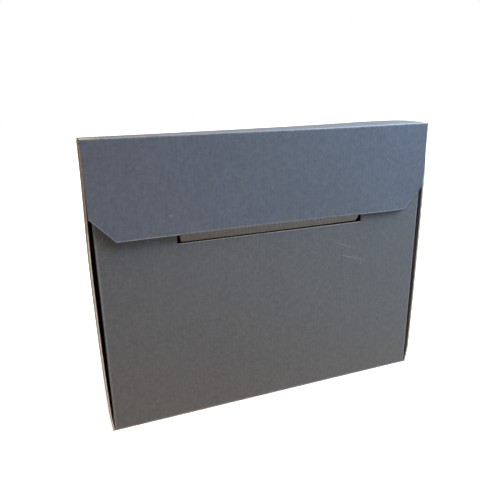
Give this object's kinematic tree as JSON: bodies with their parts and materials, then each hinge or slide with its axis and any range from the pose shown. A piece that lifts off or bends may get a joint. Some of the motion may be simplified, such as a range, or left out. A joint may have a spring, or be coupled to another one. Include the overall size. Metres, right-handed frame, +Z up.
{
  "type": "archival document box",
  "caption": "Slim upright document box folded from fine-flute corrugated board, with a hinged lid, a closure flap with cut corners and a tab that tucks into a slot in the front.",
  "frame": {"origin": "centre of the base, on the surface that the box stands on", "axes": "+X along the box's width to its right, +Y to its back, +Z up; the closure flap faces -Y"},
  "size_m": [0.31, 0.064, 0.249],
  "materials": {
    "outer_liner": "matte blue-grey paper liner over fine flutes",
    "inner_board": "matte grey paper liner over fine flutes, with a cream core at its cut edges",
    "fold": "matte paper liner, burnished along the scored fold"
  },
  "bodies": {
    "case": {"back_panel": "outer_liner", "base_panel": "outer_liner", "front_panel": "outer_liner", "left_wall": "outer_liner", "right_wall": "outer_liner", "left_tuck_flap": "inner_board", "right_tuck_flap": "inner_board", "left_base_flap": "inner_board", "right_base_flap": "inner_board", "front_base_fold": "fold", "back_base_fold": "fold", "left_back_fold": "fold", "right_back_fold": "fold", "left_front_fold": "fold", "right_front_fold": "fold", "left_base_fold": "fold", "right_base_fold": "fold"},
    "lid_body": {"lid": "outer_liner", "lid_fold": "fold"},
    "flap_body": {"closure_flap": "outer_liner", "flap_fold": "fold"},
    "tab_body": {"tuck_tab": "outer_liner", "tab_fold": "fold"},
    "left_dust_body": {"left_dust_flap": "outer_liner", "left_dust_fold": "fold"},
    "right_dust_body": {"right_dust_flap": "outer_liner", "right_dust_fold": "fold"}
  },
  "joints": [
    {"name": "lid_hinge", "type": "hinge", "parent": "case", "child": "lid_body", "pos_m": [0, 0.032, 0.249], "axis": [-1, 0, 0], "range_deg": [0, 180]},
    {"name": "flap_hinge", "type": "hinge", "parent": "lid_body", "child": "flap_body", "pos_m": [0, -0.032, 0.249], "axis": [-1, 0, 0], "range_deg": [0, 180]},
    {"name": "tab_hinge", "type": "hinge", "parent": "flap_body", "child": "tab_body", "pos_m": [-0.001, -0.032, 0.1706], "axis": [1, 0, 0], "range_deg": [-15, 75]},
    {"name": "left_dust_hinge", "type": "hinge", "parent": "case", "child": "left_dust_body", "pos_m": [-0.155, 0, 0.2471], "axis": [0, -1, 0], "range_deg": [0, 90]},
    {"name": "right_dust_hinge", "type": "hinge", "parent": "case", "child": "right_dust_body", "pos_m": [0.155, 0, 0.2471], "axis": [0, 1, 0], "range_deg": [0, 90]}
  ],
  "couplings": [
    {"joint": "left_dust_hinge", "follows": "lid_hinge", "ratio": 0.5},
    {"joint": "right_dust_hinge", "follows": "lid_hinge", "ratio": 0.5}
  ]
}
